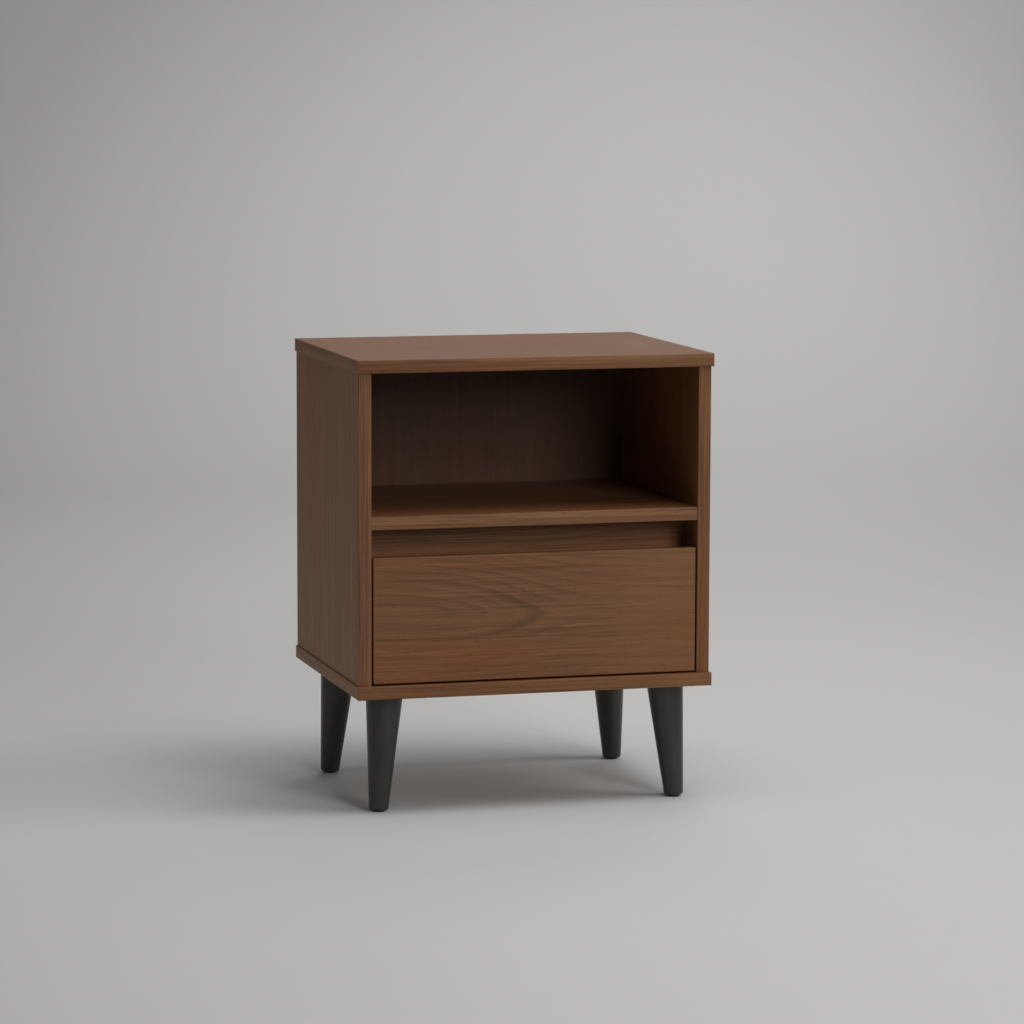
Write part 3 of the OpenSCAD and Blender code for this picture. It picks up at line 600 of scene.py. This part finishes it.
def make_cabinet_boards():
    board("top_board", "top_panel", walnut("top_walnut", LYING_X, (0.31, 0.52, 0.1), sheen=TOP_SHEEN))
    board("bottom_board", "bottom_panel", walnut("bottom_walnut", LYING_X, (1.1, 0.2, 0.3)))
    band_panel("top", "top_panel", "top_edge_bands")
    band_panel("bottom", "bottom_panel", "bottom_edge_bands")
    # Painted light: the left side's print is made lighter than the right's, though both sides have the same
    # print.
    for side, seed, tone_and_painted_light in (("left", 0.4, LEFT_SIDE_PAINTED_LIGHT), ("right", 1.3, RIGHT_SIDE_PAINTED_LIGHT)):
        finish = walnut(side + "_side_walnut", STANDING_Z, (seed, 0.3, seed), tone_and_painted_light=tone_and_painted_light)
        board(side + "_side_board", side + "_side_panel", finish, locks="carcass_cam_locks")
    strips = [strip(low, high, 1, -1, ends=False) for low, high in solids_of("side_edge_bands")]
    band("side_bands", strips, walnut("side_band", STANDING_Z, (2.3, 0.4, 0.7)), "side_edge_bands")
    finish = walnut("shelf_walnut", LYING_X, (2.1, 0.9, 0.2), tone_and_painted_light=SHELF_PAINTED_SHADE)
    board("shelf_board", "shelf_panel", finish, locks="carcass_cam_locks")
    finish = walnut("shelf_band", STANDING_X, (0.9, 0.6, 0.2), tone_and_painted_light=SHELF_BAND_PAINTED_LIGHT)
    band("shelf_band", [strip(*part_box("shelf_edge_band"), 1, -1, ends=False)], finish, "shelf_edge_band")
    finish = walnut("rail_walnut", STANDING_X, (1.9, 0.1, 0.5), tone_and_painted_light=RAIL_PAINTED_LIGHT)
    board("rail_board", "finger_rail", finish, locks="carcass_cam_locks")
    finish = walnut("rail_band", LYING_X, (1.5, 0.3, 0.9))
    band("rail_band", [strip(*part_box("rail_edge_band"), 2, -1, ends=False)], finish, "rail_edge_band")


FIGURE_FROM_LEFT = 0.037        # where the arches' heart starts, from the front's left end
FIGURE_ABOVE_MIDDLE = 0.0108    # and from its mid height
FIGURE_DEPTH = 0.37


def make_drawer_front():
    """The front board with the arched figure, and its four bands: top and bottom run through."""
    node = "drawer_front_edge_bands"
    low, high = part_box(node)
    in_low, in_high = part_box("drawer_front")
    heart = (-low.x - FIGURE_FROM_LEFT, -(low.z + high.z) / 2 - FIGURE_ABOVE_MIDDLE, FIGURE_DEPTH)
    finish = walnut("drawer_front_walnut", STANDING_X, heart, figure=True)
    board("drawer_front_board", "drawer_front", finish, body="drawer")
    through = [
        strip((low.x, low.y, in_high.z), high, 2, 1),
        strip(low, (high.x, high.y, in_low.z), 2, -1),
    ]
    upright = [
        strip((low.x, low.y, in_low.z), (in_low.x, high.y, in_high.z), 0, -1, ends=False),
        strip((in_high.x, low.y, in_low.z), (high.x, high.y, in_high.z), 0, 1, ends=False),
    ]
    finish = walnut("drawer_long_band", LYING_X, (0.2, 0.8, 0.1))
    band("drawer_front_long_bands", through, finish, node, "drawer")
    finish = walnut("drawer_short_band", STANDING_Z, (0.5, 0.2, 0.6))
    band("drawer_front_short_bands", upright, finish, node, "drawer")


def box_foil(name, turn, offset):
    """The quieter, lighter print of the drawer box."""
    return walnut(name, turn, offset, contrast=BOX_CONTRAST, tone_and_painted_light=BOX_LIGHTNESS)


def make_drawer_box():
    """Sides, back, and the bands on their upper edges."""
    for side, seed in (("left", 0.1), ("right", 0.9)):
        finish = box_foil("drawer_" + side + "_foil", STANDING_Y, (seed, 0.3, seed))
        board("drawer_" + side + "_board", "drawer_" + side + "_side", finish,
              "drawer_box_board", "drawer", "drawer_cam_locks")
    finish = box_foil("drawer_back_foil", STANDING_X, (0.7, 0.5, 0.2))
    board("drawer_back_board", "drawer_back", finish, "drawer_box_board", "drawer")
    node = "drawer_box_edge_bands"
    low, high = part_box(node)
    side_low, side_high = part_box("drawer_right_side")
    back_low, back_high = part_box("drawer_back")
    rims = [
        strip((low.x, low.y, low.z), (-side_low.x, high.y, high.z), 2, 1),
        strip((side_low.x, low.y, low.z), high, 2, 1),
    ]
    band("drawer_side_rims", rims, walnut("drawer_side_rim", LYING_Y, (0.3, 0.3, 0.3)), node, "drawer")
    rim = strip((back_low.x, back_low.y, low.z), (back_high.x, back_high.y, high.z), 2, 1, ends=False)
    band("drawer_back_rim", [rim], walnut("drawer_back_rim", LYING_X, (0.8, 0.3, 0.3)), node, "drawer")


# ---------------------------------------------------------------- legs

LEG_TOP_R = 21 * MM
LEG_FOOT_R = 11 * MM
FOOT_ROUND = 3 * MM             # the rounded rim at the foot
FOOT_TRIM = 0.8 * MM            # how much of the foot the level cut takes off
FOOT_SEGMENTS = 6
HEAD_ROUND = 0.4 * MM
LEG_SIDES = 96


def nearest_solid(node, place):
    """The box of the node's solid that is nearest to a place."""
    return min(solids_of(node), key=lambda box: ((box[0] + box[1]) / 2 - place).length)


def turned_leg(node, material):
    """A straight taper turned about its splayed axis, with a rounded rim, cut level at its glide."""
    box_low, box_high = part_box(node)
    middle = (box_low + box_high) / 2
    glide_low, glide_high = nearest_solid("leg_glides", middle)
    mount_low, mount_high = nearest_solid("leg_mounts", middle)
    foot = Vector(((glide_low.x + glide_high.x) / 2, (glide_low.y + glide_high.y) / 2, box_low.z))
    head = Vector(((mount_low.x + mount_high.x) / 2, (mount_low.y + mount_high.y) / 2, mount_high.z))
    axis = (head - foot).normalized()
    lean = math.acos(axis.z)
    drop = (head.z - box_high.z + LEG_TOP_R * math.sin(lean)) / math.cos(lean)
    start = foot - axis * (FOOT_TRIM / math.cos(lean))
    length = (head - start).length - drop
    deselect()
    bpy.ops.mesh.primitive_cone_add(
        vertices=LEG_SIDES, radius1=LEG_FOOT_R, radius2=LEG_TOP_R, depth=length, location=(0, 0, length / 2)
    )
    piece = bpy.context.object
    apply_place()
    ease(piece, FOOT_ROUND, lambda a, b: abs(a.z) < TOUCH and abs(b.z) < TOUCH, FOOT_SEGMENTS)
    ease(piece, HEAD_ROUND, lambda a, b: abs(a.z - length) < TOUCH and abs(b.z - length) < TOUCH, 2)
    piece.matrix_world = Matrix.Translation(start) @ axis.to_track_quat("Z", "Y").to_matrix().to_4x4()
    apply_place()
    bpy.ops.object.mode_set(mode="EDIT")
    bpy.ops.mesh.select_all(action="SELECT")
    bpy.ops.mesh.bisect(
        plane_co=(0, 0, box_low.z), plane_no=(0, 0, 1), use_fill=True, clear_inner=True
    )
    bpy.ops.object.mode_set(mode="OBJECT")
    bpy.ops.object.shade_smooth_by_angle(angle=SMOOTH_ANGLE)
    place_piece(piece, node + "_turned", material, "black_lacquered_wood", "cabinet", node)


def make_legs():
    lacquer = black_lacquer()
    for node in ("front_left_leg", "front_right_leg", "rear_left_leg", "rear_right_leg"):
        turned_leg(node, lacquer)


# ---------------------------------------------------------------- finishes of the CAD's own pieces

def dress_nodes():
    """Gives every CAD piece that still shows its finish."""
    looks = {
        "black_plastic": plain("black_plastic", (24, 24, 24), (34, 34, 34), (900, 900, 900), 0.55),
        "black_rubber": plain("black_rubber", (22, 22, 22), (30, 30, 30), (700, 700, 700), 0.75),
        "zinc_plated_steel": plain("zinc_plate", (168, 170, 174), (190, 192, 196), (300, 40, 300), 0.34, 1.0),
        "bearing_steel": plain("bearing_steel", (190, 192, 196), (205, 207, 210), (200, 200, 200), 0.16, 1.0),
        "cast_zinc": plain("cast_zinc", (140, 141, 143), (162, 163, 165), (800, 800, 800), 0.45, 1.0),
        "brass_insert": plain("brass", (176, 140, 70), (196, 158, 84), (400, 400, 400), 0.3, 1.0),
        "beech_dowel": plain("beech", (196, 156, 108), (214, 176, 128), (900, 900, 60), 0.6),
        "brown_hardboard": walnut(
            "back_print", STANDING_Z, (0.2, 1.2, 0.4), contrast=BACK_CONTRAST, tone_and_painted_light=BACK_PAINTED_SHADE
        ),
        "brown_plastic": walnut("cap_print", STANDING_Z, (0.4, 0.3, 0.4)),
    }
    slots = {row["node"]: row["material_slot"] for row in frame["record"]["subparts"]}
    for name, node in frame["nodes"].items():
        node.data.materials.clear()
        node.data.materials.append(looks.get(slots[name], looks["black_plastic"]))


# ---------------------------------------------------------------- studio

def make_floor():
    """A pale sheet that lies on the floor and curves up behind."""
    deselect()
    bpy.ops.mesh.primitive_plane_add(size=2 * FLOOR_HALF, location=(0, BACKDROP_Y - FLOOR_HALF, 0))
    floor = bpy.context.object
    apply_place()
    rear = max(v.co.y for v in floor.data.vertices)
    pick_edges(floor, lambda a, b: a.y > rear - MM and b.y > rear - MM)
    bpy.ops.mesh.spin(
        steps=SWEEP_STEPS, angle=-QUARTER, center=(0, rear, SWEEP_RADIUS), axis=(1, 0, 0)
    )
    bpy.ops.mesh.extrude_region_move(TRANSFORM_OT_translate={"value": (0, 0, WALL_HEIGHT)})
    bpy.ops.object.mode_set(mode="OBJECT")
    bpy.ops.object.shade_smooth_by_angle(angle=SMOOTH_ANGLE)
    floor.name = "studio_floor"
    floor.data.materials.append(paper_with_painted_light_pool())


make_camera()
make_lights()
make_floor()
dress_nodes()
make_cabinet_boards()
make_drawer_front()
make_drawer_box()
make_legs()
bpy.context.scene.view_settings.view_transform = "Standard"
